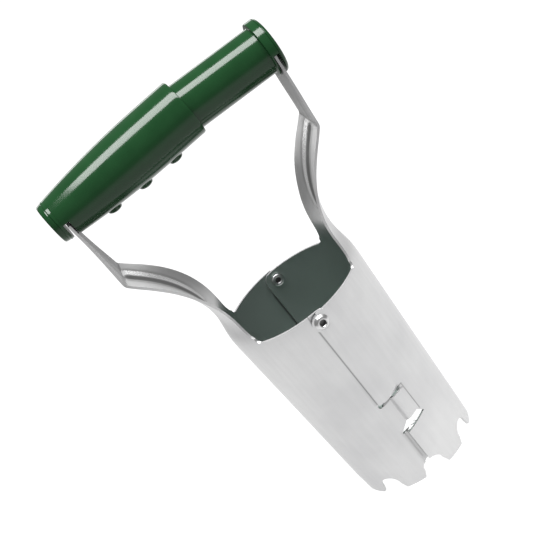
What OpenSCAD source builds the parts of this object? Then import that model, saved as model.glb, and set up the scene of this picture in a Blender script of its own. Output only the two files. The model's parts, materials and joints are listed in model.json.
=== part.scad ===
// Hand bulb planter: two pressed half barrels on one rivet line, worked by a telescoping handle.
// X runs along the handle, the front is -Y, Z is up. The origin is on the barrel's axis, at the
// tooth tips. Both half shells are the same pressing, the second turned half a turn about Z.

/* [Barrel] */
// Height from the tooth tips to the rim
barrel_h = 109; // [104:1:112]
// Outer radius at the rim
rim_r = 37; // [36:0.5:38]
// Outer radius at the tooth tips
tip_r = 31.6; // [30:0.2:32.4]
// Thickness of the sheet steel
sheet = 1.2; // [1:0.1:1.3]
// Gap between the outer and the inner wall where the shells overlap
lap_gap = 0.6; // [0.5:0.1:0.8]
// Depth of the gullets between the teeth
gullet_depth = 9; // [6:0.5:10]

/* [Rivets] */
// Height of the rivet line above the tooth tips
rivet_z = 103.7; // [102:0.1:104.5]
// Radius of the rivet shank
shank_r = 2.4; // [2:0.1:2.8]
// Running clearance of the turning shell on the shank
running_fit = 0.06; // [0.03:0.01:0.1]

/* [Arms] */
// Half the width of the arm at its knee
arm_half_w = 16.7; // [15:0.1:18]
// Half the width of the strap where it enters the handle
strap_half_w = 10.4; // [10:0.1:10.8]
// Distance of each strap end from the barrel's axis
strap_x = 59.6; // [59:0.1:60]
// Height of the pressed rib on the arm's inner face
rib_h = 2.2; // [1.6:0.1:2.4]

/* [Handle] */
// Height of the two strap pivots, on the handle's axis
handle_z = 209; // [208:0.5:210]
// Outer radius of the sleeve at its mouth
sleeve_r = 14.5; // [14.3:0.1:15]
// Outer radius of the inner tube
tube_r = 12; // [11.6:0.1:12.2]
// Outer radius of the tube's end flange
flange_r = 14.2; // [13.8:0.1:14.6]
// Droop of the sleeve at rest, in degrees
sleeve_droop = 2; // [1.5:0.1:2.2]
// Droop of the tube at rest, in degrees
tube_droop = 2.9; // [2.5:0.1:3]

/* [Hidden] */
$fn = 96;
// Each shell is moved this far towards its own outer lap
lap_shift = (sheet + lap_gap) / 2;
// Seam edges of a shell: the outer lap above and below the lock, and the inner lap
outer_lap_top = 3.4;
outer_lap_low = 0.3;
inner_lap = 6;
ear_r = 4.8;
// Lock tab: its foot, its free end, its top edge at the seam's middle and the edge's slope
tab_z0 = 35.3;
tab_x = 10.7;
tab_z1 = 48.4;
tab_rise = 0.212;
tab_slit = 0.5;
// Lower edge of the outer lap above the lock
lap_z = 49.6;
slot_z0 = 28.2;
notch_x = 8;
rib_half_w = 7.5;
// The strap's slot in the handle, the tongue above its shoulders and the eye
slot_half = 1.6;
tongue_r = 7.4;
eye_r = 5;
spigot_r = 4;
cavity_r = tongue_r + 1;
web_end = 6;
// Sleeve and cap along the handle, from the pivot
sleeve_len = 74.2;
cap_len = 6;
taper_end = 54;
taper_k = 0.00118;
// Tube along the handle, from the pivot
tube_len = 64.6;
tube_step = 46.5;
tube_inner_r = tube_r - 0.8;
tube_bore = 9.6;
flange_in = 2.4;
tube_cap_len = 3.6;
// Return spring
spring_r = 6;
wire_d = 1.4;
spring_turns = 14;
spring_half = 53.2;

STEEL = [0.80, 0.81, 0.82];
GREEN = [0.10, 0.30, 0.15];

function cone_r(z) = tip_r + (rim_r - tip_r) * z / barrel_h;
function tab_top(x) = tab_z1 + tab_rise * x;
function sleeve_out(s) = sleeve_r - taper_k * pow(max(0, taper_end - s), 2);

// Offsets a chain of points sideways by d, with mitred corners
function side_of(p, q) = let (v = q - p) [-v[1], v[0]] / norm(v);
function mitre(a, b) = (a + b) / (1 + a * b);
function normal_at(p, i) =
    i == 0 ? side_of(p[0], p[1])
    : i == len(p) - 1 ? side_of(p[i - 1], p[i])
    : mitre(side_of(p[i - 1], p[i]), side_of(p[i], p[i + 1]));
function shifted(p, d) = [for (i = [0 : len(p) - 1]) p[i] + d * normal_at(p, i)];
function reversed(p) = [for (i = [len(p) - 1 : -1 : 0]) p[i]];

// A bent sheet seen from its edge
module bent_strip(path, thick) {
    polygon(concat(shifted(path, thick / 2), reversed(shifted(path, -thick / 2))));
}

// Draws a flat outline in the XZ plane and gives it depth along Y
module along_y(y0, y1) {
    translate([0, y1, 0]) rotate([90, 0, 0]) linear_extrude(y1 - y0) children();
}

// Draws a flat outline in the YZ plane and gives it depth along X
module along_x(x0, x1) {
    translate([x0, 0, 0]) rotate([90, 0, 90]) linear_extrude(x1 - x0) children();
}

// One gullet, as a rounded notch that flares towards the tips
module gullet() {
    crown_r = 5.4;
    union() {
        translate([0, gullet_depth - crown_r]) circle(crown_r);
        polygon([[-7.2, -1], [7.2, -1], [crown_r, gullet_depth - crown_r],
                 [-crown_r, gullet_depth - crown_r]]);
    }
}

module all_gullets() {
    for (turn = [0 : 45 : 315])
        rotate([0, 0, turn]) along_y(-60, 0) gullet();
}

// Region kept by the inner lap at the front: a straight flap with a round top corner
module inner_lap_region() {
    translate([-60, -5]) square([60, barrel_h + 5]);
    translate([-1, -5]) square([inner_lap + 1, rivet_z + 5]);
    translate([0, rivet_z]) circle(inner_lap);
}

// Region kept by the outer lap at the rear: a stepped edge with an ear round the rivet
module outer_lap_region() {
    translate([-60, -5]) square([60, barrel_h + 5]);
    translate([-1, -5]) square([outer_lap_low + 1, 60]);
    translate([-1, lap_z]) square([outer_lap_top + 1, rivet_z - lap_z]);
    translate([0, rivet_z]) circle(ear_r);
}

// Round hole that ends the tab's slit
module relief_hole() {
    translate([-2.2, tab_z1]) circle(1.3);
}

// Cut in the inner lap that frees the tab, with the slit along its top edge
module tab_window() {
    polygon([[0.8, slot_z0], [20, slot_z0 + 20 * tab_rise], [20, tab_top(20) + tab_slit],
             [-2.2, tab_top(-2.2) + tab_slit], [-2.2, tab_top(-2.2)], [0.8, tab_top(0.8)]]);
    relief_hole();
}

// Notch in the outer lap that lets the other shell's tab out, mirrored for the rear
module tab_notch() {
    polygon([[-12.2, slot_z0 + 3], [5, slot_z0 - 1.1], [5, lap_z], [0, lap_z],
             [-notch_x, tab_top(notch_x) + tab_slit], [-notch_x, slot_z0 + 6.6],
             [-9.4, slot_z0 + 6.3]]);
}

// Half barrel with both laps; the inner lap is at the front
module half_barrel(hole_r) {
    difference() {
        translate([0, lap_shift, 0])
            rotate_extrude()
                polygon([[tip_r - sheet, 0], [tip_r, 0], [rim_r, barrel_h],
                         [rim_r - sheet, barrel_h]]);
        along_y(-60, 0) difference() {
            translate([-0.5, -10]) square([80, barrel_h + 30]);
            inner_lap_region();
        }
        along_y(0, 60) difference() {
            translate([-0.5, -10]) square([80, barrel_h + 30]);
            outer_lap_region();
        }
        along_y(-60, 0) tab_window();
        along_y(0, 60) tab_notch();
        along_y(-60, 60) translate([0, rivet_z]) circle(hole_r);
        all_gullets();
    }
}

// The tab: it steps out through the notch of the other shell and lies over its wall
module lock_tab() {
    wall = cone_r(tab_z0) - lap_shift - sheet / 2;
    lean = atan((rim_r - tip_r) / barrel_h);
    step_out = 3.2;
    path = [[-2.6, -wall], [0.9, -wall], [3.9, -wall - step_out], [tab_x, -wall - step_out]];
    intersection() {
        translate([0, 0, tab_z0])
            rotate([lean, 0, 0])
                translate([0, 0, -10])
                    linear_extrude(40) bent_strip(path, sheet - 0.2);
        along_y(-60, 0) difference() {
            polygon([[-4, tab_z0 - 0.6], [2, tab_z0 - 0.6], [tab_x + 2, tab_z0 + 11 * tab_rise],
                     [tab_x + 2, tab_top(tab_x + 2)], [-4, tab_top(-4)]]);
            relief_hole();
        }
    }
}

// Cross-sections of the arm up its middle line: distance out, height, half-width, radius of the
// section's curve, shift along Y, height of the rib and thickness. The first two lie inside the
// barrel's wall and the last two inside the strap end.
function arm_section(i) =
    let (wall_r = rim_r - sheet / 2, w = arm_half_w, flat = 600, t = sheet, core = sheet - 0.4)
    [
        [wall_r - 0.1, barrel_h - 2, 25.4, wall_r - 0.1, lap_shift, 0, core],
        [wall_r - 0.01, barrel_h - 0.2, 25.2, wall_r - 0.01, lap_shift, 0, core],
        [wall_r, barrel_h + 0.4, 24.6, wall_r, lap_shift, 0, t],
        [wall_r, barrel_h + 1.4, 23.4, wall_r, lap_shift, 0, t],
        [wall_r - 0.1, barrel_h + 3, 22.2, wall_r, lap_shift, 0, t],
        [wall_r - 0.4, barrel_h + 6, 20.4, wall_r, 0.9 * lap_shift, 0, t],
        [wall_r - 1, barrel_h + 9.5, 18.9, 36.5, 0.8 * lap_shift, 0, t],
        [wall_r - 1.7, barrel_h + 13, 18, 37, 0.7 * lap_shift, 0, t],
        [wall_r - 2, barrel_h + 18, 17.8, 43, 0.5 * lap_shift, 0, t],
        [wall_r - 1.9, barrel_h + 22, 18, 54, 0.4 * lap_shift, 0.9, t],
        [35.1, barrel_h + 28, w + 1.8, 96, 0.2 * lap_shift, rib_h, t],
        [36.5, barrel_h + 33, w + 1.9, 156, 0, rib_h, t],
        [39, barrel_h + 39, w + 1.8, 290, 0, rib_h, t],
        [42.6, barrel_h + 45, w + 1.6, flat, 0, rib_h, t],
        [47.5, barrel_h + 51, w + 1.2, flat, 0, rib_h, t],
        [52.1, barrel_h + 56, w + 0.7, flat, 0, rib_h, t],
        [55, barrel_h + 59, w + 0.3, flat, 0, 1.2, t],
        [56.5, barrel_h + 61.2, w, flat, 0, 0.6, t],
        [56.9, barrel_h + 64, w - 0.4, flat, 0, 0.4, t],
        [strap_x - 1.5, handle_z - 21, 13.4, flat, 0, 0.2, t],
        [strap_x - 1.1, handle_z - 15, 11.8, flat, 0, 0, t],
        [strap_x - 0.7, handle_z - 9.6, strap_half_w + 0.2, flat, 0, 0, t],
        [strap_x - 0.62, handle_z - 8.4, strap_half_w - 0.3, flat, 0, 0, core],
        [strap_x - 0.45, handle_z - 6, strap_half_w - 0.4, flat, 0, 0, core]
    ][i];

// The swept arm, with the rib pressed up on its inner face
module swept_arm() {
    last = 23;
    half = [0.08, 0.16, 0.25, 0.34, 0.43, 0.6, 0.8, 1];
    across = concat(-reversed(half), [0], half);
    n = len(across);
    rows = [for (i = [0 : last]) arm_section(i)];
    path = [for (r = rows) [-r[0], r[1]]];
    points = [for (i = [0 : last], k = [0 : 2 * n - 1])
        let (r = rows[i], side = k < n ? 1 : -1, u = across[k < n ? k : 2 * n - 1 - k],
             y = u * r[2], sag = r[3] - sqrt(r[3] * r[3] - y * y),
             rib = r[5] * (1 + cos(180 * min(1, abs(y) / rib_half_w))) / 2,
             p = path[i] + (side * r[6] / 2 - sag - rib) * normal_at(path, i))
        [p[0], y + r[4], p[1]]];
    ring = 2 * n;
    skin = [for (i = [0 : last - 1], k = [0 : ring - 1], h = [0, 1])
        let (a = i * ring + k, b = i * ring + (k + 1) % ring)
        h == 0 ? [a, b, b + ring] : [a, b + ring, a + ring]];
    caps = [for (j = [0 : n - 2], top = [0, 1], h = [0, 1])
        let (o = top * last * ring, a = o + j, b = o + j + 1, c = o + ring - 2 - j,
             d = o + ring - 1 - j,
             f = h == 0 ? [a, b, c] : [a, c, d])
        top == 1 ? f : reversed(f)];
    polyhedron(points, concat(skin, caps));
}

// Flat end of the strap, with shoulders below a round tongue
module strap_end() {
    foot_z = handle_z - 9;
    shoulder_z = handle_z - 3.5;
    lean = 0.075;
    intersection() {
        along_y(-20, 20)
            bent_strip([[-strap_x + 9 * lean, foot_z], [-strap_x - 12 * lean, handle_z + 12]], sheet);
        along_x(-80, -40) {
            translate([-strap_half_w, foot_z - 1])
                square([2 * strap_half_w, shoulder_z - foot_z + 1]);
            translate([-tongue_r, foot_z]) square([2 * tongue_r, handle_z - foot_z]);
            translate([0, handle_z]) circle(tongue_r);
        }
    }
}

// Arm of the shell on the -X side: a curved neck, a ribbed slope and an upright strap with an eye
module arm() {
    difference() {
        union() {
            swept_arm();
            strap_end();
        }
        along_x(-80, -40) translate([0, handle_z]) circle(eye_r);
    }
}

// One pressing, lying on the -X side
module half_shell(hole_r) {
    color(STEEL)
        union() {
            half_barrel(hole_r);
            lock_tab();
            arm();
        }
}

module left_shell() {
    half_shell(shank_r);
}

module right_shell() {
    rotate([0, 0, 180]) half_shell(shank_r + running_fit);
}

// Tubular rivet at the front: domed head outside, rolled-over end inside
module rivet() {
    wall_y = cone_r(rivet_z) + lap_shift;
    head_y = wall_y + 0.55;
    roll_y = wall_y - 2 * lap_shift - sheet - 0.85;
    color(STEEL)
        translate([0, 0, rivet_z])
            rotate([90, 0, 0])
                rotate_extrude()
                    polygon([[1.5, roll_y - 1], [2.9, roll_y - 1], [3.3, roll_y - 0.6],
                             [3.3, roll_y - 0.3], [2.9, roll_y], [shank_r, roll_y],
                             [shank_r, head_y], [3.8, head_y], [3.8, head_y + 0.3],
                             [3.2, head_y + 1], [2.4, head_y + 1.3], [1.5, head_y + 0.7]]);
}

module front_rivet() {
    rivet();
}

module rear_rivet() {
    rotate([0, 0, 180]) rivet();
}

// Places a piece turned about the handle's axis, with x measured from a strap pivot
module on_axis(x, droop) {
    translate([x, 0, handle_z]) rotate([0, droop, 0]) rotate([0, 90, 0]) children();
}

// The sleeve's opening for the strap, cut from below, and the pocket of the strap's tongue
module strap_slot(top) {
    rotate([0, -90, 0]) translate([-slot_half, -20, -20]) cube([2 * slot_half, 40, 20 + top]);
    translate([0, 0, -slot_half]) cylinder(r = cavity_r, h = 2 * slot_half);
}

// Outer sleeve with three finger nubs underneath
module grip_sleeve() {
    steps = 12;
    last = taper_end;
    taper = [for (i = [0 : steps]) let (s = -slot_half + (last + slot_half) * i / steps)
                [sleeve_out(s), s]];
    nub_r = 4.2;
    nub_out = 2.2;
    color(GREEN)
        on_axis(-strap_x, -sleeve_droop)
            difference() {
                union() {
                    rotate_extrude()
                        polygon(concat([[0, -slot_half]], taper,
                                       [[sleeve_r, sleeve_len - 0.6],
                                        [sleeve_r - 0.6, sleeve_len], [0, sleeve_len]]));
                    for (s = [20.4, 38.2, 56])
                        translate([sleeve_out(s) - nub_r + nub_out, 0, s]) sphere(nub_r);
                }
                rotate_extrude()
                    polygon([[0, web_end], [9.6, web_end], [12.3, 22], [13.3, 44],
                             [13.3, sleeve_len + 1], [0, sleeve_len + 1]]);
                translate([0, 0, -slot_half - 1]) cylinder(r = spigot_r, h = web_end + 4);
                strap_slot(-1);
            }
}

// Cap that closes the sleeve: its spigot passes through the strap's eye
module sleeve_end_cap() {
    outer = sleeve_out(-cap_len);
    color(GREEN)
        on_axis(-strap_x, -sleeve_droop)
            rotate_extrude()
                polygon([[0, -cap_len], [outer - 0.9, -cap_len], [outer, -cap_len + 0.9],
                         [sleeve_out(-slot_half) - 0.4, -slot_half - 0.5],
                         [sleeve_out(-slot_half) - 0.7, -slot_half],
                         [spigot_r, -slot_half], [spigot_r, web_end - 1],
                         [spigot_r - 0.6, web_end - 0.4], [0, web_end - 0.4]]);
}

// Inner tube that slides in the sleeve, with a flange at its outer end
module grip_tube() {
    color(GREEN)
        on_axis(strap_x, tube_droop)
            difference() {
                rotate_extrude()
                    polygon([[0, -tube_len], [tube_inner_r - 0.6, -tube_len],
                             [tube_inner_r, -tube_len + 0.6], [tube_inner_r, -tube_step - 0.4],
                             [tube_r, -tube_step + 0.4], [tube_r, -flange_in],
                             [flange_r - 0.5, -flange_in], [flange_r, -flange_in + 0.5],
                             [flange_r, slot_half], [0, slot_half]]);
                translate([0, 0, -tube_len - 1])
                    cylinder(r = tube_bore, h = tube_len + 1 - web_end);
                translate([0, 0, -web_end - 1]) cylinder(r = spigot_r, h = web_end + 4);
                strap_slot(-2);
            }
}

// Domed cap that closes the tube's flange
module tube_end_cap() {
    color(GREEN)
        on_axis(strap_x, tube_droop)
            rotate_extrude()
                polygon([[0, tube_cap_len], [9, tube_cap_len], [12, tube_cap_len - 0.5],
                         [13.6, tube_cap_len - 1.2], [flange_r, slot_half + 0.3],
                         [flange_r - 0.3, slot_half], [spigot_r, slot_half],
                         [spigot_r, -web_end + 1], [spigot_r - 0.6, -web_end + 0.4],
                         [0, -web_end + 0.4]]);
}

// Compression spring in the tube, seated on the web at each end of the handle
module return_spring() {
    rings = spring_turns * 16;
    sides = 8;
    run = 2 * (spring_half - wire_d / 2);
    rise = atan(run / (spring_turns * 2 * PI * spring_r));
    points = [for (i = [0 : rings], j = [0 : sides - 1])
        let (t = 360 * spring_turns * i / rings, a = 360 * j / sides,
             out = wire_d / 2 * cos(a), up = wire_d / 2 * sin(a))
        [run * (i / rings - 0.5) + up * cos(rise),
         (spring_r + out) * cos(t) + up * sin(rise) * sin(t),
         (spring_r + out) * sin(t) - up * sin(rise) * cos(t)]];
    skin = [for (i = [0 : rings - 1], j = [0 : sides - 1], k = [0, 1])
        let (a = i * sides + j, b = i * sides + (j + 1) % sides)
        k == 0 ? [a, b, b + sides] : [a, b + sides, a + sides]];
    ends = [[for (j = [sides - 1 : -1 : 0]) j], [for (j = [0 : sides - 1]) rings * sides + j]];
    color(STEEL)
        translate([0, 0, handle_z + 0.35])
            polyhedron(points, concat(skin, ends));
}

left_shell();
right_shell();
front_rivet();
rear_rivet();
grip_sleeve();
sleeve_end_cap();
grip_tube();
tube_end_cap();
return_spring();
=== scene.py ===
import json
import math

import bmesh
import bpy
from mathutils import Matrix, Vector


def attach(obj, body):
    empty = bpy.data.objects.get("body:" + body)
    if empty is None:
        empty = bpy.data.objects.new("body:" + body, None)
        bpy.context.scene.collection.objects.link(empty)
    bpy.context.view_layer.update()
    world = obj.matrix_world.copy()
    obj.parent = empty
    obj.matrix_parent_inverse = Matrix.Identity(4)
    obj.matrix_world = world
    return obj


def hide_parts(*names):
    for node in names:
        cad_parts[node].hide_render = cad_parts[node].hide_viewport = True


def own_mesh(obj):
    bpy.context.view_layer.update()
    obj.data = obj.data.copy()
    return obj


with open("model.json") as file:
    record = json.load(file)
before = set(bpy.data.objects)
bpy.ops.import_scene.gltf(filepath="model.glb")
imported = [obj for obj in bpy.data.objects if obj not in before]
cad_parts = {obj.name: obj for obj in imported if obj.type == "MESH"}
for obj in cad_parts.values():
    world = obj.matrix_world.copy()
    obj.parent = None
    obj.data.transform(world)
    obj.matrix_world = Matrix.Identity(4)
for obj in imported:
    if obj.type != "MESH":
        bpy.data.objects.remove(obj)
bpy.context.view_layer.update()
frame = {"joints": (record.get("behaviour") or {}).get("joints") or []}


# ---------------------------------------------------------------- camera
# The planter is seen from the front and a little from above. The camera is turned on its own
# axis, so that the handle climbs to the right and the barrel hangs down to the right.
aim = Vector((0.0, 0.0, 0.110))
azimuth, elevation, roll = (math.radians(a) for a in (-2.83, 22.04, -38.84))
away = 0.6347
slide_right, slide_up = -0.0113, 0.0109
sensor_mm, lens_mm = 36.0, 89.8

back = Vector((math.sin(azimuth) * math.cos(elevation),
               -math.cos(azimuth) * math.cos(elevation), math.sin(elevation)))
level_right = (-back).cross(Vector((0, 0, 1))).normalized()
level_up = level_right.cross(-back)
right = level_right * math.cos(roll) + level_up * math.sin(roll)
up = level_up * math.cos(roll) - level_right * math.sin(roll)
camera = bpy.data.objects.new("camera", bpy.data.cameras.new("camera"))
camera.data.sensor_width = sensor_mm
camera.data.lens = lens_mm
camera.data.clip_start = 0.01
stand = Matrix((right, up, back)).transposed().to_4x4()
stand.translation = aim + back * away + right * slide_right + up * slide_up
camera.matrix_world = stand
bpy.context.scene.collection.objects.link(camera)
bpy.context.scene.camera = camera


# ---------------------------------------------------------------- half shells
# Two equal pressings of 1.2 mm zinc-plated sheet, the second turned half a turn about the
# barrel's axis. Each flat blank holds half the barrel, its two laps, the lock tab and the arm;
# the press bends it round and raises the rib on the arm's inner face.
MM = 0.001
SHEET = 1.2
TIP_R, RIM_R = 31.6 - SHEET / 2, 37.0 - SHEET / 2
RIM = 109.1
joint = {j["name"]: j for j in frame["joints"]}
RIVET_Z = joint["barrel_hinge"]["pos_m"][2] / MM
PIVOT_Z = joint["sleeve_pivot"]["pos_m"][2] / MM
RIVET_HOLE = 2.4
LAP_SHIFT = 0.9
EAR_R = 4.8


def smooth(t):
    t = min(1.0, max(0.0, t))
    return t * t * (3 - 2 * t)


def rounded_track(corners, step=0.4):
    """Samples of a bent line, as (point, direction). A corner is (out, height, bend radius), or
    (out, height) where the bend is as round as the room to its neighbours allows."""
    marks = [(Vector(c[:2]), c[2] if len(c) > 2 else None) for c in corners]
    samples = []
    start = marks[0][0]
    for (before, _), (here, radius), (after, _) in zip(marks, marks[1:], marks[2:]):
        come, go = (here - before).normalized(), (after - here).normalized()
        turn = come.angle_signed(go)
        room = 0.49 * min((here - before).length, (after - here).length)
        if radius is None:
            radius = room / math.tan(abs(turn) / 2)
        reach = radius * math.tan(abs(turn) / 2)
        samples += straight(start, here - come * reach, step)
        count = max(4, int(abs(turn) * radius / step) + 1)
        side = Vector((come.y, -come.x)) * (1 if turn > 0 else -1)
        centre = here - come * reach + side * radius
        for i in range(count):
            spun = Matrix.Rotation(-turn * i / count, 2)
            samples.append((centre + spun @ (-side * radius), spun @ come))
        start = here + go * reach
    samples += straight(start, marks[-1][0], step)
    samples.append((marks[-1][0], samples[-1][1]))
    return samples


def straight(a, b, step):
    count = max(1, int((b - a).length / step))
    return [(a.lerp(b, i / count), (b - a).normalized()) for i in range(count)]


# Middle line of a shell, seen from the front: the cone, the neck, the slope and the strap end
track = rounded_track([(TIP_R, 0), (36.4, 109.6, 40), (35.2, 117), (34.4, 123.5), (34.8, 130),
                       (36.1, 136.5), (38.4, 144), (42.1, 152), (47.8, 160.3),
                       (56.5, 169.8, 3.2), (60.2, 216.6)])
lengths = [0.0]
for (p, _), (q, _) in zip(track, track[1:]):
    lengths.append(lengths[-1] + (q - p).length)


def where(s):
    """The point of the middle line a length s from the tips, and the line's direction there."""
    low, high = 0, len(lengths) - 1
    while high - low > 1:
        mid = (low + high) // 2
        low, high = (mid, high) if lengths[mid] <= s else (low, mid)
    t = (s - lengths[low]) / max(1e-9, lengths[high] - lengths[low])
    (p, d), (p2, d2) = track[low], track[high]
    return p.lerp(p2, t), d.lerp(d2, t).normalized()


KNEE = next(l for l, (p, d) in zip(lengths, track) if p.y > 169.5)
EYE = next(l for l, (p, d) in zip(lengths, track) if p.y > PIVOT_Z)


def wall_r(s):
    return TIP_R + (RIM_R - TIP_R) * s / RIM


def lay(q, s, w=0.0):
    """A blank point that ends up w beside the line q, at the length s."""
    return Vector((q + w * RIM_R / wall_r(min(s, RIM)), s, 0))


def seam(x, s, side):
    """A blank point that ends up x past the seam's middle; side is -1 at the front, 1 behind."""
    return Vector((side * RIM_R * (math.pi / 2 + math.asin(x / wall_r(min(s, RIM)))), s, 0))


def arc(centre_w, centre_s, radius, start, end, count):
    for i in range(count + 1):
        a = math.radians(start + (end - start) * i / count)
        yield centre_w + radius * math.cos(a), centre_s + radius * math.sin(a)


def gullet(start, end):
    """A rounded gullet between two teeth, from left to right, cut off at start and end."""
    left = [*arc(-7.5, 0.9, 0.9, -90, -8, 4), *arc(0, 3.6, 5.4, 180, 90, 9)]
    whole = left + [(-w, s) for w, s in reversed(left[:-1])]
    return [(w, s) for w, s in whole if start - 1e-6 <= w <= end + 1e-6]


HALF_WIDTH = [(110.9, 24.3), (113, 22.9), (116, 21.2), (119, 20.0), (122.5, 19.1), (127, 18.7),
              (138, 18.8), (149, 18.7), (157, 18.4), (165, 17.9), (177, 16.6), (186, 14.2),
              (196, 12.2), (206, 10.8), (216, 10.3)]


def half_width(s):
    """Half the arm's width along its middle line, as a smooth curve through a few stations."""
    last = len(HALF_WIDTH) - 1
    i = min(last - 1, max(0, sum(1 for at, _ in HALF_WIDTH if at <= s) - 1))
    (s0, w0), (s1, w1) = HALF_WIDTH[i], HALF_WIDTH[i + 1]

    def slope(k):
        a, b = HALF_WIDTH[max(0, k - 1)], HALF_WIDTH[min(last, k + 1)]
        return (b[1] - a[1]) / (b[0] - a[0])

    t = (s - s0) / (s1 - s0)
    m0, m1 = slope(i) * (s1 - s0), slope(i + 1) * (s1 - s0)
    return ((2 * t ** 3 - 3 * t ** 2 + 1) * w0 + (t ** 3 - 2 * t ** 2 + t) * m0
            + (3 * t ** 2 - 2 * t ** 3) * w1 + (t ** 3 - t ** 2) * m1)


def arm_side(side):
    """The outline of one side of the arm, from the rim up to the top of the tongue."""
    corner = 2.4
    base = HALF_WIDTH[0][1]
    shoulder = EYE - 3.5
    tongue_r = 7.4
    steps = 56
    fillet = arc(base + corner, RIM + corner, corner, 270, 180, 7)
    heights = (RIM + corner + (shoulder - RIM - corner) * i / steps for i in range(1, steps + 1))
    edge = ((half_width(s), s) for s in heights)
    tongue = arc(0, EYE, tongue_r, -28, 90, 12)
    return [Vector((side * w, s, 0)) for w, s in (*fillet, *edge, *tongue)]


# How far the laps pass the seam's middle, and the heights of the lock's edges
LAP = 6.0
OUTER_LAP_TOP, OUTER_LAP_LOW, OUTER_LAP_FOOT = 3.4, 0.3, 49.6
FLAP_TOP = 28.2
TAB_FOOT, TAB_END = 31.2, 10.7
SLIT = 0.5
EYE_R = 5.0


def tab_top(x):
    return 48.43 + 0.212 * x


def blank_outlines():
    """The flat blank in pieces that meet along straight lines through its round holes."""
    front, rear = -RIM_R * math.pi / 2, RIM_R * math.pi / 2
    relief_x, relief_s, relief_r = -2.9, 48.4, 1.3
    relief_q = seam(relief_x, relief_s, -1).x
    crown = 9.0

    def teeth(*centres):
        for centre, start, end in centres:
            for w, s in gullet(start, end):
                yield lay(RIM_R * math.radians(centre), s, w)

    def half_rivet_hole(line, side):
        return [lay(line, s, side * w) for w, s in arc(0, RIVET_Z, RIVET_HOLE, -90, 90, 10)]

    eye = [Vector((w, s, 0)) for w, s in arc(0, EYE, EYE_R, -90, 90, 14)]
    edge_gap = (relief_q - front) * wall_r(crown) / RIM_R
    left_main = [
        *teeth((-90, edge_gap, 9), (-45, -9, 9), (0, -9, 0)),
        *[Vector((-v.x, v.y, 0)) for v in eye],
        *reversed(arm_side(-1)),
        Vector((relief_q, RIM, 0)),
        *[lay(relief_q, s, w) for w, s in reversed(list(arc(0, relief_s, relief_r, -90, 90, 10)))],
    ]
    left_main[0].x = relief_q
    foot_s = left_main[0].y
    right_main = [
        *teeth((0, 0, 9), (45, -9, 9), (90, -9, 0)),
        lay(rear, crown, OUTER_LAP_LOW), seam(OUTER_LAP_LOW, 27.9, 1), seam(-12.2, TAB_FOOT, 1),
        seam(-9.4, 34.5, 1), seam(-8, 35.6, 1), seam(-8, tab_top(8) + SLIT, 1),
        Vector((rear, OUTER_LAP_FOOT, 0)),
        *half_rivet_hole(rear, -1),
        Vector((rear, RIM, 0)),
        *arm_side(1),
        *reversed(eye),
    ]
    flap = [
        *[lay(front, s, w) for w, s in gullet(0, edge_gap)], Vector((relief_q, foot_s, 0)),
        Vector((relief_q, FLAP_TOP, 0)), Vector((front, FLAP_TOP, 0)),
    ]
    low_strip = [
        Vector((relief_q, FLAP_TOP + SLIT, 0)),
        *[seam(relief_x + w, s, -1) for w, s in arc(0, relief_s, relief_r, -90, -11, 5)],
        Vector((front, tab_top(0), 0)), Vector((front, TAB_FOOT, 0)),
    ]
    high_strip = [
        Vector((front, tab_top(0) + SLIT, 0)),
        *[seam(relief_x + w, s, -1) for w, s in arc(0, relief_s, relief_r, 11, 90, 5)],
        Vector((relief_q, RIM, 0)), Vector((front, RIM, 0)),
        *reversed(half_rivet_hole(front, 1)),
    ]
    inner_lap = [
        Vector((front, RIM, 0)),
        *[seam(w, s, -1) for w, s in arc(0, RIVET_Z, LAP, 57, 0, 6)],
        seam(LAP, tab_top(LAP) + SLIT, -1), Vector((front, tab_top(0) + SLIT, 0)),
        *half_rivet_hole(front, -1),
    ]
    tab = [
        Vector((front, TAB_FOOT, 0)), Vector((front, tab_top(0), 0)),
        seam(TAB_END - 0.5, tab_top(TAB_END - 0.5), -1),
        seam(TAB_END, tab_top(TAB_END) - 0.5, -1), seam(TAB_END, 37.0, -1),
        seam(TAB_END - 0.4, 36.4, -1), seam(4.6, 34.6, -1),
    ]
    lap_foot = [
        Vector((front, FLAP_TOP, 0)), seam(LAP, 29.2, -1),
        *[lay(front, s, w) for w, s in gullet(-LAP, 0)],
    ]
    outer_lap = [
        Vector((rear, OUTER_LAP_FOOT, 0)), seam(OUTER_LAP_TOP, OUTER_LAP_FOOT + 0.3, 1),
        seam(OUTER_LAP_TOP, 98.6, 1),
        *[seam(w, s, 1) for w, s in arc(0, RIVET_Z, EAR_R, -45, 90, 14)],
        Vector((rear, RIM, 0)),
        *reversed(half_rivet_hole(rear, 1)),
    ]
    return (left_main, right_main, flap, low_strip, high_strip, inner_lap, tab, lap_foot,
            outer_lap)


def score(bm, where_at, across, wanted=lambda face: True):
    """Cuts the wanted faces along one straight line, so that the sheet can bend there."""
    faces = [f for f in bm.faces if wanted(f.calc_center_bounds())]
    edges = {e for f in faces for e in f.edges}
    verts = {v for f in faces for v in f.verts}
    at = (where_at, 0, 0) if across else (0, where_at, 0)
    normal = (1, 0, 0) if across else (0, 1, 0)
    bmesh.ops.bisect_plane(bm, geom=[*verts, *edges, *faces], dist=1e-4, plane_co=at,
                           plane_no=normal)


def spread(start, end, step):
    count = max(1, round((end - start) / step))
    return [start + (end - start) * i / count for i in range(count + 1)]


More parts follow.
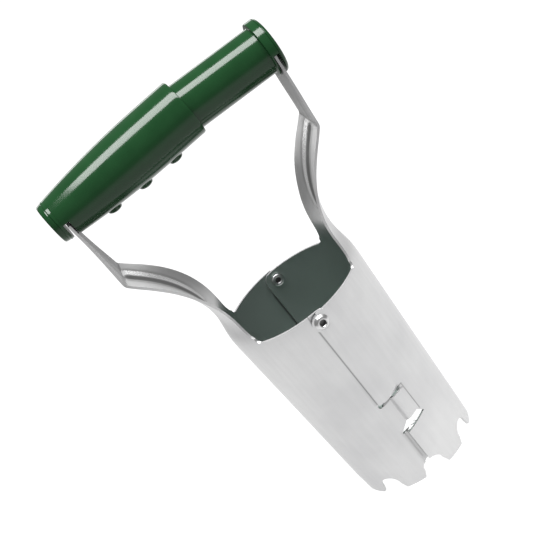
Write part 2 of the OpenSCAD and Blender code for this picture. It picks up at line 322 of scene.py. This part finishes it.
def flat_blank():
    """The blank as one flat sheet, scored along every line where the press bends it."""
    bm = bmesh.new()
    for outline in blank_outlines():
        ring = []
        for v in outline:
            if not ring or (v - ring[-1].co).length > 2e-3:
                ring.append(bm.verts.new(v))
        if (ring[0].co - ring[-1].co).length < 2e-3:
            bm.verts.remove(ring.pop())
        bm.faces.new(ring)
    bmesh.ops.remove_doubles(bm, verts=bm.verts, dist=5e-3)
    # The barrel, the arm and the arm's rib
    for s in spread(3, RIM, 3.1):
        score(bm, s, False)
    arm_lines = [*spread(RIM + 1.5, KNEE - 4, 1.6), *spread(KNEE - 3.6, KNEE + 3.6, 0.45),
                 *spread(KNEE + 4.4, EYE + 6, 2.2)]
    for s in arm_lines:
        score(bm, s, False, lambda c: c.y > RIM)
    for q in spread(-68, 68, 1.7):
        score(bm, q, True)
    for q in spread(-9, 9, 0.6):
        score(bm, q, True, lambda c: c.y > 126 and abs(c.x) < 10)
    # The seams' lines of painted shade, the flap's step and the notch's far end, where painted
    # shade falls
    for x in (-4.4, -4.0, -3.7, -3.3):
        score(bm, seam(x, RIM, -1).x, True, lambda c: c.x < -48 and 45 < c.y < RIM)
    for x in (-6.0, -6.4, -6.8, -7.2):
        score(bm, seam(x, RIM, 1).x, True, lambda c: c.x > 44 and 9 < c.y < RIM)
    for x in (-2.5, -2.0, -1.5):
        score(bm, seam(x, 20, -1).x, True, lambda c: c.x < -48 and c.y < FLAP_TOP)
    for x in spread(-11.8, -10.4, 0.35):
        score(bm, seam(x, 44, 1).x, True, lambda c: c.x > 42 and 33 < c.y < 53)
    # The tab's top edge and its bend
    for s in spread(46.0, 52.5, 0.45):
        score(bm, s, False, lambda c: abs(c.x) > 43)
    for x in (2.4, 2.9, 3.4, 3.9, 4.4, 4.9):
        score(bm, seam(x, 42, -1).x, True, lambda c: c.x < -58 and 31 < c.y < tab_top(6))
    bmesh.ops.remove_doubles(bm, verts=bm.verts, dist=5e-3)
    return bm


# The rib on the arm: where it starts and ends, half its width, its sloping sides and its height
RIB_START, RIB_END = 130.0, KNEE - 2.5
RIB_HALF, RIB_SIDE, RIB_RISE = 7.8, 4.8, 1.0
ARM_TWIST = 0.065
# The tab steps over the other half between TAB_BEND and TAB_FLAT and is flat beyond
TAB_BEND, TAB_FLAT, TAB_GAP = 2.2, 5.0, 0.3
FLAP_STEP = 0.45


def rib_height(q, s):
    run = smooth((s - RIB_START) / 4) * (0.5 + 0.5 * smooth((s - RIB_START) / 12))
    run *= 1 - 0.8 * smooth((s - RIB_END) / 3.5)
    run *= 1 - smooth((s - EYE + 30) / 8)
    return RIB_RISE * run * smooth((RIB_HALF - abs(q)) / RIB_SIDE)


def pressed(q, s):
    """Where the press moves a point of the left shell's blank, in millimetres."""
    here, way = where(s)
    if s <= RIM + 1e-6:
        radius, turn = here.x, q / RIM_R
        past = -radius * math.cos(turn)
        out = radius * math.sin(turn)
        if q < 0 and past > 0 and 30 < s < tab_top(past) + 0.01:
            step = smooth((past - TAB_BEND) / (TAB_FLAT - TAB_BEND))
            raised = radius + (2 * LAP_SHIFT + SHEET + TAB_GAP) * step
            out = -math.sqrt(raised ** 2 - min(past, TAB_FLAT - 0.2) ** 2)
        if q < 0 and s < FLAP_TOP + 0.01:
            out += FLAP_STEP * smooth((past + 2.9) / 1.4)
        return Vector((past, out + LAP_SHIFT, here.y))
    curve = max(1e-5, (1 - smooth((s - RIM - 6) / 60)) / RIM_R)
    y, sag = math.sin(q * curve) / curve, (1 - math.cos(q * curve)) / curve
    twist = ARM_TWIST * smooth((s - RIM - 6) / 30) * (1 - smooth((s - KNEE + 2) / 30))
    y += LAP_SHIFT * (1 - smooth((s - RIM) / 28))
    inner = Vector((-way.y, way.x))
    tip = smooth((s - RIM - 3) / 35)
    fall = (Vector((-1, 0)) * (1 - tip) + inner * tip).normalized()
    spot = here + fall * sag + inner * rib_height(q, s)
    return Vector((-spot.x + twist * y, y, spot.y))


def node_tree(name):
    material = bpy.data.materials.new(name)
    material.use_nodes = True
    return material, material.node_tree.nodes, material.node_tree.links


def grain_group():
    """Fine mill grain of a rolled and plated sheet: a cloudy tone, a roughness and a height."""
    group = bpy.data.node_groups.new("plated grain", "ShaderNodeTree")
    face = group.interface
    for label, kind in (("Vector", "NodeSocketVector"), ("Cloud scale", "NodeSocketFloat"),
                        ("Streak scale", "NodeSocketFloat")):
        face.new_socket(label, in_out="INPUT", socket_type=kind)
    for label in ("Cloud", "Streak", "Speck"):
        face.new_socket(label, in_out="OUTPUT", socket_type="NodeSocketFloat")
    nodes, links = group.nodes, group.links
    entry, leave = nodes.new("NodeGroupInput"), nodes.new("NodeGroupOutput")
    cloud = nodes.new("ShaderNodeTexNoise")
    cloud.inputs["Detail"].default_value = 4
    links.new(entry.outputs["Vector"], cloud.inputs["Vector"])
    links.new(entry.outputs["Cloud scale"], cloud.inputs["Scale"])
    stretch = nodes.new("ShaderNodeMapping")
    stretch.inputs["Scale"].default_value = (1.0, 1.0, 0.06)
    links.new(entry.outputs["Vector"], stretch.inputs["Vector"])
    streak = nodes.new("ShaderNodeTexNoise")
    streak.inputs["Detail"].default_value = 3
    links.new(stretch.outputs["Vector"], streak.inputs["Vector"])
    links.new(entry.outputs["Streak scale"], streak.inputs["Scale"])
    speck = nodes.new("ShaderNodeTexNoise")
    speck.inputs["Scale"].default_value = 2600
    speck.inputs["Detail"].default_value = 2
    links.new(entry.outputs["Vector"], speck.inputs["Vector"])
    links.new(cloud.outputs["Fac"], leave.inputs["Cloud"])
    links.new(streak.outputs["Fac"], leave.inputs["Streak"])
    links.new(speck.outputs["Fac"], leave.inputs["Speck"])
    return group


GRAIN = grain_group()


def stretch_range(nodes, links, source, low, high, to_low, to_high):
    node = nodes.new("ShaderNodeMapRange")
    for socket, value in zip(("From Min", "From Max", "To Min", "To Max"),
                             (low, high, to_low, to_high)):
        node.inputs[socket].default_value = value
    links.new(source, node.inputs["Value"])
    return node.outputs["Result"]


def mix_colours(nodes, links, factor, first, second, blend="MIX"):
    node = nodes.new("ShaderNodeMix")
    node.data_type = "RGBA"
    node.blend_type = blend
    for socket, value in (("Factor", factor), ("A", first), ("B", second)):
        target = next(i for i in node.inputs
                      if i.name == socket and i.type == ("VALUE" if socket == "Factor" else "RGBA"))
        if isinstance(value, (float, int)):
            target.default_value = value
        elif isinstance(value, tuple):
            target.default_value = (*value, 1)
        else:
            links.new(value, target)
    return next(o for o in node.outputs if o.type == "RGBA")


def zinc_material(name, light, dark, roughness, metallic, shade_mark=None, shaded=None):
    """Bright zinc plate. An attribute named by one argument darkens it with painted shade along
    seams, lap edges and bends and on the arm's rib. A colour given by another argument is painted
    shade: it fades in on the barrel's inside below the rim, and on that side the rib's crest is
    lightened by a painted highlight."""
    material, nodes, links = node_tree(name)
    shader = nodes["Principled BSDF"]
    place = nodes.new("ShaderNodeTexCoord")
    grain = nodes.new("ShaderNodeGroup")
    grain.node_tree = GRAIN
    grain.inputs["Cloud scale"].default_value = 22
    grain.inputs["Streak scale"].default_value = 420
    links.new(place.outputs["Object"], grain.inputs["Vector"])
    cloud = stretch_range(nodes, links, grain.outputs["Cloud"], 0.35, 0.65, 0, 1)
    tone = mix_colours(nodes, links, cloud, dark, light)
    streak = stretch_range(nodes, links, grain.outputs["Streak"], 0.4, 0.62, 0.98, 1.01)
    tone = mix_colours(nodes, links, 1.0, tone, streak, "MULTIPLY")
    # Painted shade: below the rim the inner face fades to a darker grey-green, standing in for the
    # shade inside the barrel.
    if shaded:
        parts = nodes.new("ShaderNodeSeparateXYZ")
        links.new(place.outputs["Object"], parts.inputs["Vector"])
        fade = stretch_range(nodes, links, parts.outputs["Z"], 0.111, 0.123, 0, 1)
        tone = mix_colours(nodes, links, fade, shaded, tone)
    # Painted shade: where the attribute is marked, the tone is darkened towards near-black along
    # seams, lap edges, bends and the rib's sides.
    if shade_mark:
        mark = nodes.new("ShaderNodeAttribute")
        mark.attribute_name = shade_mark
        painted_shade = stretch_range(nodes, links, mark.outputs["Fac"], 0, 1, 0, 0.85)
        tone = mix_colours(nodes, links, painted_shade, tone, (0.07, 0.07, 0.068))
    rough = stretch_range(nodes, links, grain.outputs["Cloud"], 0.35, 0.65, roughness - 0.04,
                          roughness + 0.05)
    # Painted highlight: the rib's crest is lightened towards white, and its roughness is lowered.
    if shaded:
        crest_highlight_amount = nodes.new("ShaderNodeAttribute")
        crest_highlight_amount.attribute_name = "painted_crest_highlight"
        tone = mix_colours(nodes, links, crest_highlight_amount.outputs["Fac"], tone, (0.97, 0.97, 0.97))
        smoother = nodes.new("ShaderNodeMath")
        smoother.operation = "MULTIPLY_ADD"
        smoother.inputs[1].default_value = -0.15
        links.new(crest_highlight_amount.outputs["Fac"], smoother.inputs[0])
        links.new(rough, smoother.inputs[2])
        rough = smoother.outputs[0]
    links.new(tone, shader.inputs["Base Color"])
    links.new(rough, shader.inputs["Roughness"])
    shader.inputs["Metallic"].default_value = metallic
    bump = nodes.new("ShaderNodeBump")
    bump.inputs["Strength"].default_value = 0.12
    bump.inputs["Distance"].default_value = 0.00008
    links.new(grain.outputs["Speck"], bump.inputs["Height"])
    links.new(bump.outputs["Normal"], shader.inputs["Normal"])
    return material


zinc_outside = zinc_material("bright zinc plate", (0.65, 0.65, 0.65), (0.53, 0.53, 0.535), 0.4, 0.9,
                             shade_mark="shade_mark")
# The inner face: a slightly darker copy of the plate for the shaded side, with painted shade below
# the rim, along the lap edges and on the rib, and a painted highlight on the rib's crest.
zinc_inside = zinc_material("dull zinc plate inside", (0.60, 0.60, 0.60), (0.52, 0.52, 0.52), 0.4,
                            0.85, shade_mark="crease inside", shaded=(0.36, 0.42, 0.395))


def turn_mesh(bm, angle, axis):
    bmesh.ops.rotate(bm, verts=bm.verts, cent=(0, 0, 0), matrix=Matrix.Rotation(angle, 3, axis))


def settle(name, bm, materials, body, node, smooth_below=35):
    """Makes the finished mesh a piece that stands for its CAD node and moves with its body."""
    bmesh.ops.scale(bm, vec=(MM, MM, MM), verts=bm.verts)
    mesh = bpy.data.meshes.new(name)
    bm.to_mesh(mesh)
    bm.free()
    for material in materials:
        mesh.materials.append(material)
    mesh.shade_smooth()
    mesh.set_sharp_from_angle(angle=math.radians(smooth_below))
    piece = bpy.data.objects.new(name, mesh)
    bpy.context.scene.collection.objects.link(piece)
    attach(piece, body)
    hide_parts(node)
    return piece


def break_edges(piece, width):
    bevel = piece.modifiers.new("broken edges", "BEVEL")
    bevel.width = width * MM
    bevel.segments = 2
    bevel.limit_method = "ANGLE"
    bevel.angle_limit = math.radians(40)
    bevel.harden_normals = True


def arm_marks(q, s):
    """How much painted shade darkens the arm's inner face on the rib's sloping sides, in a pit at
    its foot and in bands beside it, and how much painted highlight lightens the rib's crest, at a
    point of the blank.
    """
    # Painted shade on the rib's sloping sides, in the pit at its foot and in bands beside it.
    bend = 6 * abs(rib_height(q + 0.3, s) - rib_height(q - 0.3, s))
    pit = 1.3 - math.hypot(q / 2.6, (s - 131.8) / 3.2)
    beside = (0.5 - abs(abs(q) - 8.6) / 4) * smooth((s - 134) / 14) * smooth((KNEE - s) / 3)
    # Painted highlight along the rib's crest.
    crest_highlight_amount = smooth((3.4 - abs(q)) / 1.2) * smooth((s - 138) / 12) * smooth((KNEE - 1 - s) / 3)
    return min(0.9, max(bend, pit, beside)), crest_highlight_amount


def lock_painted_shade(x, s, q):
    """How much painted shade darkens the barrel's outer face along the seam under the outer lap's
    edge, on the stepped flap and round the lock tab; x is past the seam.
    """
    if q < 0 and s > 50:
        return 0.8 - min(0.8, abs(x + OUTER_LAP_TOP + 0.35) / 0.6)
    if q < 0 and x > -3 and s < FLAP_TOP + 0.01:
        return 0.22
    if q < 0 and -2.4 < x < 3.4 and s > 40:
        return max(0.0, 0.9 - abs(s - tab_top(x) + 0.5) / 0.9)
    if q > 0 and 33 < s < 53 and x < -7.9:
        beyond = TAB_END + 0.35
        beside = abs(-x - beyond) if s < tab_top(11) else 9
        above = abs(s - tab_top(11) - 0.3) if -x < beyond + 0.25 else 9
        return max(0.0, 0.8 - min(beside, above) / 0.5)
    return 0.0


def half_shell(name, body, half_turn):
    bm = flat_blank()
    shade_mark = bm.verts.layers.float.new("shade_mark")
    inside_shade_mark = bm.verts.layers.float.new("crease inside")
    painted_crest_highlight = bm.verts.layers.float.new("painted_crest_highlight")
    for v in bm.verts:
        q, s = v.co.x, v.co.y
        v.co = pressed(q, s)
        if s > RIM:
            # Painted shade on the arm's inner face, and a painted highlight on the rib's crest.
            v[inside_shade_mark], v[painted_crest_highlight] = arm_marks(q, s)
            continue
        # Painted shade on the outer face along the seam, on the stepped flap and round the lock
        # tab.
        v[shade_mark] = lock_painted_shade(v.co.x, s, q)
        over_lock = q > 0 and 33 < s < 53 and v.co.x < -7.9
        # Painted shade along the inner lap's edge inside the barrel.
        if q > 0 and s < 98 and not over_lock:
            v[inside_shade_mark] = 1 - min(1.0, abs(v.co.x + LAP + 0.6) / 0.6)
    bmesh.ops.recalc_face_normals(bm, faces=bm.faces)
    outward = sum(f.normal.dot(f.calc_center_median() * Vector((1, 1, 0))) for f in bm.faces)
    if outward < 0:
        bmesh.ops.reverse_faces(bm, faces=bm.faces)
    if half_turn:
        turn_mesh(bm, math.pi, "Z")
    piece = settle(name, bm, (zinc_outside, zinc_inside), body, name)
    wall = piece.modifiers.new("sheet thickness", "SOLIDIFY")
    wall.thickness = SHEET * MM
    wall.offset = 0
    wall.use_even_offset = True
    wall.use_quality_normals = True
    wall.material_offset = 1
    break_edges(piece, 0.22)


half_shell("left_shell", "left_half", False)
half_shell("right_shell", "right_half", True)


# ---------------------------------------------------------------- rivets
# Two tubular steel rivets on one line near the rim, domed outside and rolled over inside. Their
# bores are painted dark
#  as shade, and a dark web closes each bore below the dome in place of the shade deep inside. They
#  hold the shells together and are the pin of the hinge.
rivet_steel = zinc_material("polished rivet steel", (0.66, 0.66, 0.66), (0.58, 0.58, 0.58),
                            0.3, 1.0)
rivet_bore_shade = zinc_material("rivet bore painted shade", (0.28, 0.28, 0.28), (0.20, 0.20, 0.20), 0.55, 0.7)


def lathe(profile, segments=64, closed=True):
    """Spins an outline of (radius, length) points round the Z axis."""
    bm = bmesh.new()
    ring = [bm.verts.new((r, 0, length)) for r, length in profile]
    edges = [bm.edges.new(pair) for pair in zip(ring, ring[1:])]
    if closed:
        edges.append(bm.edges.new((ring[-1], ring[0])))
    bmesh.ops.spin(bm, geom=ring + edges, cent=(0, 0, 0), axis=(0, 0, 1), dvec=(0, 0, 0),
                   angle=math.tau, steps=segments, use_merge=True)
    bmesh.ops.remove_doubles(bm, verts=bm.verts, dist=1e-4)
    bmesh.ops.recalc_face_normals(bm, faces=bm.faces)
    return bm


def rivet(name, half_turn):
    head = wall_r(RIVET_Z) + LAP_SHIFT + SHEET / 2 + 0.1
    roll = wall_r(RIVET_Z) - LAP_SHIFT - SHEET / 2 - 0.25
    head_r = 3.8
    dome = [(head_r - 1.8 * t, head + 1.35 * math.sin(t * math.pi / 2))
            for t in (0.0, 0.05, 0.12, 0.22, 0.36, 0.55, 0.78, 1.0)]
    curl = [(2.3 + 0.95 * math.cos(a), roll - 0.8 + 0.8 * math.sin(a))
            for a in (math.radians(d) for d in range(90, -181, -30))]
    # A dark web closes the hollow bore, a sheet standing in for the shade deep inside.
    web = [(1.5, head - 1.0), (0, head - 1.2), (0, head - 1.8), (1.35, head - 1.9)]
    shank = RIVET_HOLE - 0.2
    profile = [(shank, roll), (shank, head), (head_r - 0.1, head), *dome,
               (1.8, head + 1.2), (1.55, head + 0.8), *web, (1.3, roll - 0.8), *reversed(curl)]
    bm = lathe(profile)
    # Painted shade: the bore and its web take the dark bore material.
    for face in bm.faces:
        if all(v.co.to_2d().length < 1.6 for v in face.verts):
            face.material_index = 1
    turn_mesh(bm, math.pi / 2, "X")
    bmesh.ops.translate(bm, verts=bm.verts, vec=(0, 0, RIVET_Z))
    if half_turn:
        turn_mesh(bm, math.pi, "Z")
    settle(name, bm, (rivet_steel, rivet_bore_shade), "left_half", name, 50)


rivet("front_rivet", False)
rivet("rear_rivet", True)


# ---------------------------------------------------------------- handle sleeve and its cap
# The sleeve is moulded in glossy green plastic and tapers to its outer end. Three nubs under it
# seat the fingers. The strap's end lies in a slot at the end face, and the cap closes it.
SLEEVE_R, SLEEVE_LEN, CAP_LEN = 14.5, 74.2, 6.0
SLOT = 1.6
TAPER_END, TAPER = 54.0, 0.00118
SLEEVE_DROOP, TUBE_DROOP = math.radians(2.0), math.radians(2.9)
SPIGOT_R, CAVITY_R, WEB = 4.0, 8.4, 6.0
SLEEVE_BORE = 13.3


def green_plastic_material():
    material, nodes, links = node_tree("glossy green plastic")
    shader = nodes["Principled BSDF"]
    shader.inputs["Specular IOR Level"].default_value = 0.27
    place = nodes.new("ShaderNodeTexCoord")
    grain = nodes.new("ShaderNodeGroup")
    grain.node_tree = GRAIN
    grain.inputs["Cloud scale"].default_value = 120
    grain.inputs["Streak scale"].default_value = 300
    links.new(place.outputs["Object"], grain.inputs["Vector"])
    cloud = stretch_range(nodes, links, grain.outputs["Cloud"], 0.3, 0.7, 0, 1)
    tone = mix_colours(nodes, links, cloud, (0.0055, 0.032, 0.0095), (0.007, 0.038, 0.0115))
    links.new(tone, shader.inputs["Base Color"])
    links.new(stretch_range(nodes, links, grain.outputs["Cloud"], 0.3, 0.7, 0.12, 0.15),
              shader.inputs["Roughness"])
    bump = nodes.new("ShaderNodeBump")
    bump.inputs["Strength"].default_value = 0.04
    bump.inputs["Distance"].default_value = 0.0001
    links.new(grain.outputs["Cloud"], bump.inputs["Height"])
    links.new(bump.outputs["Normal"], shader.inputs["Normal"])
    return material


green_plastic = green_plastic_material()


def sleeve_out(s):
    return SLEEVE_R - TAPER * max(0.0, TAPER_END - s) ** 2


def on_handle(bm, pivot_joint, droop):
    """Lays a part turned about Z along the handle, starting from a strap's pivot."""
    pivot = Vector(joint[pivot_joint]["pos_m"]) / MM
    turn_mesh(bm, math.pi / 2, "Y")
    turn_mesh(bm, droop, "Y")
    bmesh.ops.translate(bm, verts=bm.verts, vec=pivot)
    return bm


def add_pocket_wall(bm, outer_start, outer_end, inner, slot_top):
    """The wall round the pocket of the strap's tongue, open below the height of slot_top. The
    underside faces +X before the part is laid."""
    corners = [(inner, -SLOT), (outer_start, -SLOT), (outer_end, SLOT), (inner, SLOT)]
    opening = math.acos(-slot_top / outer_end)
    turned = Matrix.Rotation(opening, 3, "Z")
    ring = [bm.verts.new(turned @ Vector((r, 0, length))) for r, length in corners]
    face = bm.faces.new(ring)
    bmesh.ops.spin(bm, geom=[face, *face.edges, *ring], cent=(0, 0, 0), axis=(0, 0, 1),
                   dvec=(0, 0, 0), angle=math.tau - 2 * opening, steps=56, use_duplicate=False)


def raise_nub(bm, s, radius=3.9, rise=2.2):
    """Pushes a round finger nub out of the underside, which faces +X before the part is laid."""
    centre = Vector((sleeve_out(s), 0, s))
    skin = sleeve_out(s) - 0.6
    near = [v for v in bm.verts
            if (v.co - centre).length < radius * 1.4 and v.co.to_2d().length > skin]
    touched = {f for v in near for f in v.link_faces}
    edges = {e for f in touched for e in f.edges}
    bmesh.ops.subdivide_edges(bm, edges=list(edges), cuts=2, use_grid_fill=True)
    for v in bm.verts:
        off = math.hypot(v.co.y, v.co.z - s)
        if off < radius and v.co.x > 0 and v.co.to_2d().length > skin:
            dome = math.sqrt(1 - (off / radius) ** 2)
            v.co.x += rise * dome * smooth((radius - off) / 0.5)


def grip_sleeve():
    outer = [(sleeve_out(s), s) for s in spread(SLOT, SLEEVE_LEN - 0.8, 1.1)]
    mouth = [(SLEEVE_R - 0.3, SLEEVE_LEN - 0.15), (SLEEVE_R - 0.8, SLEEVE_LEN)]
    bore = [(SLEEVE_BORE + 0.3, SLEEVE_LEN), (SLEEVE_BORE, SLEEVE_LEN - 0.3), (SLEEVE_BORE, 44),
            (12.3, 22), (9.6, WEB), (SPIGOT_R, WEB), (SPIGOT_R, SLOT)]
    bm = lathe(outer + mouth + bore, 96)
    for s in (20.4, 38.2, 56.0):
        raise_nub(bm, s)
    add_pocket_wall(bm, sleeve_out(-SLOT), sleeve_out(SLOT), CAVITY_R, -1.0)
    bmesh.ops.recalc_face_normals(bm, faces=bm.faces)
    on_handle(bm, "sleeve_pivot", -SLEEVE_DROOP)
    settle("grip_sleeve", bm, (green_plastic,), "sleeve", "grip_sleeve")


def sleeve_end_cap():
    face = sleeve_out(-CAP_LEN)
    rounding = [(face - 0.9 + 0.9 * math.cos(a), -CAP_LEN + 0.9 - 0.9 * math.sin(a))
                for a in (math.radians(d) for d in (90, 68, 45, 22, 0))]
    foot = sleeve_out(-SLOT)
    beads = [(foot - 0.3, -3.9), (foot - 0.42, -3.6), (foot - 0.35, -3.3), (foot + 0.02, -3.0),
             (foot + 0.06, -2.6), (foot - 0.12, -2.2), (foot - 0.12, -SLOT)]
    spigot = SPIGOT_R - 0.02
    profile = [(0, -CAP_LEN), *rounding, *beads, (spigot, -SLOT), (spigot, WEB - 1),
               (spigot - 0.58, WEB - 0.4), (0, WEB - 0.4)]
    bm = on_handle(lathe(profile, 96, closed=False), "sleeve_pivot", -SLEEVE_DROOP)
    settle("sleeve_end_cap", bm, (green_plastic,), "sleeve", "sleeve_end_cap")


grip_sleeve()
sleeve_end_cap()


# ---------------------------------------------------------------- inner tube and its cap
# The tube slides in the sleeve as the handle is squeezed. Its flange is slotted underneath for
# the other strap, and a domed cap closes it.
TUBE_R, TUBE_LEN, FLANGE_R, FLANGE_IN, TUBE_CAP = 12.0, 64.6, 14.2, 2.4, 3.6
TUBE_STEP, TUBE_BORE = 46.5, 9.6


def grip_tube():
    inner = TUBE_R - 0.8
    outer = [(TUBE_BORE, -TUBE_LEN), (inner - 0.6, -TUBE_LEN), (inner, -TUBE_LEN + 0.6),
             (inner, -TUBE_STEP - 0.4), (TUBE_R, -TUBE_STEP + 0.4), (TUBE_R, -FLANGE_IN - 0.5),
             (TUBE_R + 0.15, -FLANGE_IN - 0.12), (TUBE_R + 0.5, -FLANGE_IN),
             (FLANGE_R - 0.5, -FLANGE_IN), (FLANGE_R - 0.15, -FLANGE_IN + 0.15),
             (FLANGE_R, -FLANGE_IN + 0.5), (FLANGE_R, -SLOT)]
    bore = [(SPIGOT_R, -SLOT), (SPIGOT_R, -WEB), (TUBE_BORE, -WEB)]
    bm = lathe(outer + bore, 96)
    add_pocket_wall(bm, FLANGE_R, FLANGE_R, CAVITY_R, -2.0)
    bmesh.ops.recalc_face_normals(bm, faces=bm.faces)
    on_handle(bm, "tube_pivot", TUBE_DROOP)
    settle("grip_tube", bm, (green_plastic,), "tube", "grip_tube")


def tube_end_cap():
    dome = [(FLANGE_R - 2.6 * (1 - math.cos(a)), SLOT + 0.2 + 1.7 * math.sin(a))
            for a in (math.radians(d) for d in range(0, 91, 15))]
    spigot = SPIGOT_R - 0.02
    profile = [(0, -WEB + 0.4), (spigot - 0.58, -WEB + 0.4), (spigot, -WEB + 1), (spigot, SLOT),
               (FLANGE_R - 0.5, SLOT), *dome, (8, TUBE_CAP - 0.02), (0, TUBE_CAP)]
    bm = on_handle(lathe(profile, 96, closed=False), "tube_pivot", TUBE_DROOP)
    settle("tube_end_cap", bm, (green_plastic,), "tube", "tube_end_cap")


grip_tube()
tube_end_cap()


# ---------------------------------------------------------------- return spring
# A compression spring of drawn wire inside the tube. It spreads the straps, so that the barrel
# closes when the hand lets go.
SPRING_R, WIRE_R, SPRING_HALF, SPRING_TURNS = 6.0, 0.7, 53.2, 14


def return_spring():
    bm = bmesh.new()
    ring = bmesh.ops.create_circle(bm, segments=10, radius=WIRE_R)["verts"]
    bmesh.ops.rotate(bm, verts=ring, cent=(0, 0, 0), matrix=Matrix.Rotation(math.pi / 2, 3, "X"))
    bmesh.ops.translate(bm, verts=ring, vec=(SPRING_R, 0, -SPRING_HALF + WIRE_R))
    steps = SPRING_TURNS * 28
    climb = 2 * (SPRING_HALF - WIRE_R) / steps
    bmesh.ops.spin(bm, geom=ring + list(bm.edges), cent=(0, 0, 0), axis=(0, 0, 1),
                   dvec=(0, 0, climb), angle=math.tau * SPRING_TURNS, steps=steps)
    bmesh.ops.holes_fill(bm, edges=[e for e in bm.edges if e.is_boundary], sides=0)
    bmesh.ops.recalc_face_normals(bm, faces=bm.faces)
    turn_mesh(bm, math.pi / 2, "Y")
    bmesh.ops.translate(bm, verts=bm.verts, vec=(0, 0, PIVOT_Z + 0.35))
    spring = settle("return_spring", bm, (rivet_steel,), "sleeve", "return_spring")
    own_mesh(spring)


return_spring()


# ---------------------------------------------------------------- studio
# A plain white floor, an even pale surround and one long soft box overhead, which lies along the
# handle, with a weaker one behind. The floor glows most round the planter, so that it lights the
# barrel evenly.
def plain_floor():
    bm = bmesh.new()
    bmesh.ops.create_grid(bm, x_segments=1, y_segments=1, size=12)
    mesh = bpy.data.meshes.new("floor")
    bm.to_mesh(mesh)
    bm.free()
    floor = bpy.data.objects.new("floor", mesh)
    bpy.context.scene.collection.objects.link(floor)
    material, nodes, links = node_tree("white floor")
    shader = nodes["Principled BSDF"]
    shader.inputs["Base Color"].default_value = (0.1, 0.1, 0.1, 1)
    shader.inputs["Roughness"].default_value = 0.9
    shader.inputs["Specular IOR Level"].default_value = 0.0
    shader.inputs["Emission Strength"].default_value = 1.0
    place = nodes.new("ShaderNodeTexCoord")
    reach = nodes.new("ShaderNodeVectorMath")
    reach.operation = "LENGTH"
    links.new(place.outputs["Object"], reach.inputs[0])
    pool = stretch_range(nodes, links, reach.outputs["Value"], 0.30, 0.65, 1.0, 0.2)
    seen = nodes.new("ShaderNodeLightPath")
    links.new(mix_colours(nodes, links, seen.outputs["Is Camera Ray"], pool, (1.0, 1.0, 1.0)),
              shader.inputs["Emission Color"])
    mesh.materials.append(material)


def soft_box(name, place, aim_at, width, height, watts):
    lamp = bpy.data.lights.new(name, "AREA")
    lamp.shape = "RECTANGLE"
    lamp.size, lamp.size_y = width, height
    lamp.energy = watts
    box = bpy.data.objects.new(name, lamp)
    bpy.context.scene.collection.objects.link(box)
    towards = (Vector(aim_at) - Vector(place)).to_track_quat("-Z", "Y").to_matrix().to_4x4()
    box.matrix_world = Matrix.Translation(place) @ towards


plain_floor()
world = bpy.data.worlds.new("pale surround")
bpy.context.scene.world = world
world.use_nodes = True
surround, wires = world.node_tree.nodes, world.node_tree.links
surround["Background"].inputs["Color"].default_value = (1, 1, 1, 1)
seen = surround.new("ShaderNodeLightPath")
wires.new(stretch_range(surround, wires, seen.outputs["Is Camera Ray"], 0, 1, 0.3, 1.0),
          surround["Background"].inputs["Strength"])
soft_box("overhead box", (0.23, -0.22, 1.08), (0.23, 0, 0.2), 1.0, 0.44, 28)
soft_box("rear box", (0, 1.5, 0.55), (0, 0, 0.15), 1.8, 0.35, 4.5)
bpy.context.scene.view_settings.view_transform = "Standard"
